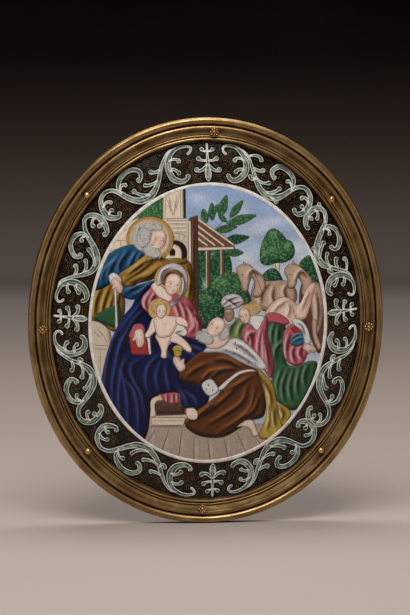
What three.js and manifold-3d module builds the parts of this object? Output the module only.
// Domed oval enamel plaque held in a gilt-brass moulding by four rosette pins and four ball pins.
// Millimetres. The front faces -Y, +Z is up, and the flat back of the moulding lies in the plane y = 0.
// The origin is on that flat back, at the top of the oval, where the plaque is held to the wall.
import * as THREE from "three";
import { mergeVertices } from "three/addons/utils/BufferGeometryUtils.js";
import Module from "manifold-3d";

const wasm = await Module();
wasm.setup();

// The moulding's outer oval, and how far its long axis leans to the right
const OUTER_HALF_WIDTH = 120;
const OUTER_HALF_HEIGHT = 137;
const OVAL_LEAN = THREE.MathUtils.degToRad(2.2);
const OVAL_SEGMENTS = 64;

// The moulding's section, measured inwards from the outer oval and forwards from the flat back:
// round members as arcs between two angles in degrees, and single points as [inset, height]
const MOULDING_WIDTH = 16.4;
const BACK_CHAMFER = 0.6;
const ROLL = { inset: 2.4, height: 7.5, radius: 2.4, from: 180, to: -10, steps: 6 };
const ROLL_GROOVE = [5.05, 6.9];
const CREST = { inset: 7.0, height: 7.9, radius: 1.65, from: 200, to: 60, steps: 3 };
const HOLLOW = { start: [8.3, 9.0], bend: [9.6, 7.2], end: [11.7, 6.9], steps: 2 };
const OUTER_REED = { inset: 12.45, height: 7.0, radius: 0.6, from: 170, to: 10, steps: 2 };
const REED_GROOVE = [13.22, 6.75];
const INNER_REED = { inset: 14.45, height: 6.55, radius: 1.1, from: 165, to: 15, steps: 3 };
const SIGHT_EDGE_HEIGHT = 6.0;
const BEZEL_WIDTH = 1.6;

// The plaque: a dished copper plate, enamelled on both faces, with its rim in a channel of the moulding
const FIT_GAP = 0.3;
const RIM_INSET = 13.9;
const RIM_HEIGHT = 3.7;
const PLAQUE_THICKNESS = 2.0;
const DOME_RISE = 16;
const DOME_RINGS = [0.27, 0.48, 0.66, 0.8, 0.9, 0.97];

// The pins: their heads lie in the moulding's hollow, and their shanks end in blind holes
const PIN_INSET = 9.4;
const SHANK_RADIUS = 0.9;
const SHANK_LENGTH = 5.4;
const SHANK_ROOT = 0.2;
const SHANK_SIDES = 12;
const HOLE_EXTRA_DEPTH = 0.5;
const HOLE_MOUTH = 3;
const ROSETTE_SEAT = { height: 9.05, tilt: THREE.MathUtils.degToRad(19) };
const ROSETTE_DISC_RADIUS = 2.7;
const ROSETTE_DISC_THICKNESS = 0.8;
const PETAL_COUNT = 8;
const PETAL_RING_RADIUS = 2.35;
const PETAL_RADII = [0.86, 0.8, 1.05];
const PETAL_FACETS = [6, 4];
const BOSS_RADIUS = 0.95;
const BOSS_FACETS = [8, 6];
const BALL_SEAT = { height: 8.85, tilt: THREE.MathUtils.degToRad(27) };
const BALL_RADIUS = 2.05;
const BALL_FACETS = [10, 8];
const BALL_COLLAR_RADIUS = 1.5;

// Where each pin stands, as the angle of the oval's parameter, clockwise from its top
const ROSETTE_STATIONS = { top: 0, right: 90, bottom: 179, left: 266 };
const BALL_STATIONS = { upper_right: 48, lower_right: 132, lower_left: 225, upper_left: 310 };

// The mount lies midway across the flat back
const MOUNT_INSET = 7.5;

const giltBrass = { color: 0x8a6a3a, roughness: 0.38, metalness: 1.0 };
const brightGilt = { color: 0xa8854c, roughness: 0.3, metalness: 1.0 };
const enamel = { color: 0x1c1614, roughness: 0.15, metalness: 0.0 };

// A closed geometry with shared vertices and no empty triangles, so that it can be cut or joined
function closed(geometry) {
  const bare = geometry.clone();
  bare.deleteAttribute("normal");
  bare.deleteAttribute("uv");
  const merged = mergeVertices(bare, 1e-4);
  const kept = [];
  const index = merged.getIndex().array;
  for (let i = 0; i < index.length; i += 3) {
    const [a, b, c] = [index[i], index[i + 1], index[i + 2]];
    if (a !== b && b !== c && c !== a) kept.push(a, b, c);
  }
  merged.setIndex(kept);
  return merged;
}

function toManifold(geometry) {
  const solid = closed(geometry);
  return new wasm.Manifold(new wasm.Mesh({
    numProp: 3,
    vertProperties: new Float32Array(solid.getAttribute("position").array),
    triVerts: new Uint32Array(solid.getIndex().array),
  }));
}

function fromManifold(manifold) {
  const mesh = manifold.getMesh();
  const geometry = new THREE.BufferGeometry();
  geometry.setAttribute("position", new THREE.BufferAttribute(mesh.vertProperties, 3));
  geometry.setIndex(new THREE.BufferAttribute(mesh.triVerts, 1));
  return geometry;
}

function namedMesh(name, geometry, look) {
  geometry.computeVertexNormals();
  const mesh = new THREE.Mesh(geometry, new THREE.MeshStandardMaterial(look));
  mesh.name = name;
  return mesh;
}

// A point on the outer oval at a parameter angle, and the outward direction there, in the oval's plane
function ovalStation(angle) {
  const point = new THREE.Vector2(OUTER_HALF_WIDTH * Math.sin(angle), OUTER_HALF_HEIGHT * Math.cos(angle));
  const outward = new THREE.Vector2(Math.sin(angle) / OUTER_HALF_WIDTH, Math.cos(angle) / OUTER_HALF_HEIGHT);
  return { point, outward: outward.normalize() };
}

function insetPoint(angle, inset) {
  const { point, outward } = ovalStation(angle);
  return point.addScaledVector(outward, -inset);
}

// Moves each vertex of a lathe from its circle to the oval; place(angle, radius) gives its place there
function ovalise(geometry, place) {
  const position = geometry.getAttribute("position");
  for (let i = 0; i < position.count; i += 1) {
    const angle = Math.atan2(position.getX(i), position.getZ(i));
    const radius = Math.hypot(position.getX(i), position.getZ(i));
    const moved = place(angle, radius);
    position.setX(i, moved.x);
    position.setZ(i, moved.y);
  }
  return geometry;
}

// Points on a round member of the section, each as [inset, height]
function arc({ inset, height, radius, from, to, steps }) {
  const points = [];
  for (let i = 0; i <= steps; i += 1) {
    const angle = THREE.MathUtils.degToRad(from + ((to - from) * i) / steps);
    points.push([inset + radius * Math.cos(angle), height + radius * Math.sin(angle)]);
  }
  return points;
}

// Points on the concave stretch between the crest and the reeds
function hollow({ start, bend, end, steps }) {
  const corners = [start, bend, end].map((corner) => new THREE.Vector2(...corner));
  const curve = new THREE.QuadraticBezierCurve(...corners);
  return curve.getPoints(steps).map((point) => [point.x, point.y]);
}

function domeHeight(share) {
  return RIM_HEIGHT + DOME_RISE * (1 - share * share);
}

// How far out a place of the given inset is, as a share of the plaque's half width
function shareAtInset(inset) {
  return (OUTER_HALF_WIDTH - inset) / (OUTER_HALF_WIDTH - RIM_INSET);
}

function mouldingSection() {
  const lipHeight = domeHeight(shareAtInset(MOULDING_WIDTH)) + FIT_GAP;
  const channelInset = RIM_INSET - FIT_GAP;
  const bezelHeight = RIM_HEIGHT - PLAQUE_THICKNESS - FIT_GAP;
  const bezelInset = channelInset + BEZEL_WIDTH;
  return [
    [BACK_CHAMFER, 0],
    [0, BACK_CHAMFER],
    ...arc(ROLL),
    ROLL_GROOVE,
    ...arc(CREST),
    ...hollow(HOLLOW),
    ...arc(OUTER_REED),
    REED_GROOVE,
    ...arc(INNER_REED),
    [MOULDING_WIDTH, SIGHT_EDGE_HEIGHT],
    [MOULDING_WIDTH, lipHeight],
    [channelInset, lipHeight],
    [channelInset, bezelHeight],
    [bezelInset, bezelHeight],
    [bezelInset, 0],
    [BACK_CHAMFER, 0],
  ];
}

function mouldingGeometry() {
  const section = mouldingSection();
  const profile = section.map(([inset, height]) => new THREE.Vector2(OUTER_HALF_WIDTH - inset, -height));
  const ring = new THREE.LatheGeometry(profile.reverse(), OVAL_SEGMENTS);
  return ovalise(ring, (angle, radius) => insetPoint(angle, OUTER_HALF_WIDTH - radius));
}

// The plaque is turned at a radius of 1 and then stretched to the oval that its rim follows
function plaqueGeometry() {
  const front = [0, ...DOME_RINGS, 1];
  const back = front.toReversed();
  const profile = [
    ...front.map((share) => new THREE.Vector2(share, -domeHeight(share))),
    ...back.map((share) => new THREE.Vector2(share, PLAQUE_THICKNESS - domeHeight(share))),
  ];
  const plate = new THREE.LatheGeometry(profile, OVAL_SEGMENTS);
  return ovalise(plate, (angle, share) => insetPoint(angle, RIM_INSET).multiplyScalar(share));
}

// Where a pin's head sits: -Y points out of the hollow, and -Z to the middle of the oval
function seatMatrix(stationDegrees, seat) {
  const angle = THREE.MathUtils.degToRad(stationDegrees);
  const { outward } = ovalStation(angle);
  const place = insetPoint(angle, PIN_INSET);
  const turn = new THREE.Matrix4().makeRotationY(Math.atan2(outward.x, outward.y));
  const lean = new THREE.Matrix4().makeRotationX(seat.tilt);
  const move = new THREE.Matrix4().makeTranslation(place.x, -seat.height, place.y);
  return move.multiply(turn).multiply(lean);
}

function shankGeometry() {
  const shank = new THREE.CylinderGeometry(SHANK_RADIUS, SHANK_RADIUS, SHANK_LENGTH, SHANK_SIDES);
  return shank.translate(0, SHANK_LENGTH / 2 - SHANK_ROOT, 0);
}

function holeGeometry() {
  const depth = SHANK_LENGTH - SHANK_ROOT + HOLE_EXTRA_DEPTH;
  const radius = SHANK_RADIUS + FIT_GAP;
  const hole = new THREE.CylinderGeometry(radius, radius, depth + HOLE_MOUTH, SHANK_SIDES);
  return hole.translate(0, (depth - HOLE_MOUTH) / 2, 0);
}

// A rosette pin: a ring of petals and a round boss on a thin disc, with its shank behind
function rosetteGeometry() {
  const disc = new THREE.CylinderGeometry(
    ROSETTE_DISC_RADIUS,
    ROSETTE_DISC_RADIUS,
    ROSETTE_DISC_THICKNESS,
    2 * PETAL_COUNT,
  ).translate(0, -ROSETTE_DISC_THICKNESS / 2, 0);
  let rosette = toManifold(disc).add(toManifold(shankGeometry()));
  for (let i = 0; i < PETAL_COUNT; i += 1) {
    const petal = new THREE.SphereGeometry(1, ...PETAL_FACETS)
      .scale(...PETAL_RADII)
      .translate(0, -ROSETTE_DISC_THICKNESS, PETAL_RING_RADIUS)
      .rotateY((2 * Math.PI * i) / PETAL_COUNT);
    rosette = rosette.add(toManifold(petal));
  }
  const boss = new THREE.SphereGeometry(BOSS_RADIUS, ...BOSS_FACETS).translate(0, -ROSETTE_DISC_THICKNESS, 0);
  return fromManifold(rosette.add(toManifold(boss)));
}

// A ball pin: a round head on a short collar, with its shank behind
function ballPinGeometry() {
  const head = new THREE.SphereGeometry(BALL_RADIUS, ...BALL_FACETS).translate(0, -BALL_RADIUS, 0);
  const collar = new THREE.CylinderGeometry(
    BALL_COLLAR_RADIUS,
    BALL_COLLAR_RADIUS,
    BALL_RADIUS,
    BALL_FACETS[0],
  ).translate(0, -BALL_RADIUS / 2, 0);
  return fromManifold(toManifold(head).add(toManifold(collar)).add(toManifold(shankGeometry())));
}

const oval = new THREE.Group();
oval.rotation.y = OVAL_LEAN;

// The pins, and the moulding with a blind hole for each
let moulding = toManifold(mouldingGeometry());
function addPin(name, geometry, station, seat) {
  const matrix = seatMatrix(station, seat);
  const pin = namedMesh(name, geometry, brightGilt);
  pin.applyMatrix4(matrix);
  oval.add(pin);
  moulding = moulding.subtract(toManifold(holeGeometry().applyMatrix4(matrix)));
}
for (const [side, station] of Object.entries(ROSETTE_STATIONS)) {
  addPin(`rosette_${side}`, rosetteGeometry(), station, ROSETTE_SEAT);
}
for (const [corner, station] of Object.entries(BALL_STATIONS)) {
  addPin(`ball_pin_${corner}`, ballPinGeometry(), station, BALL_SEAT);
}
oval.add(namedMesh("frame_moulding", fromManifold(moulding), giltBrass));
oval.add(namedMesh("enamel_plaque", closed(plaqueGeometry()), enamel));

// The oval hangs below the mount
oval.position.z = MOUNT_INSET - OUTER_HALF_HEIGHT;

const plaque = new THREE.Group();
plaque.add(oval);

export default plaque;
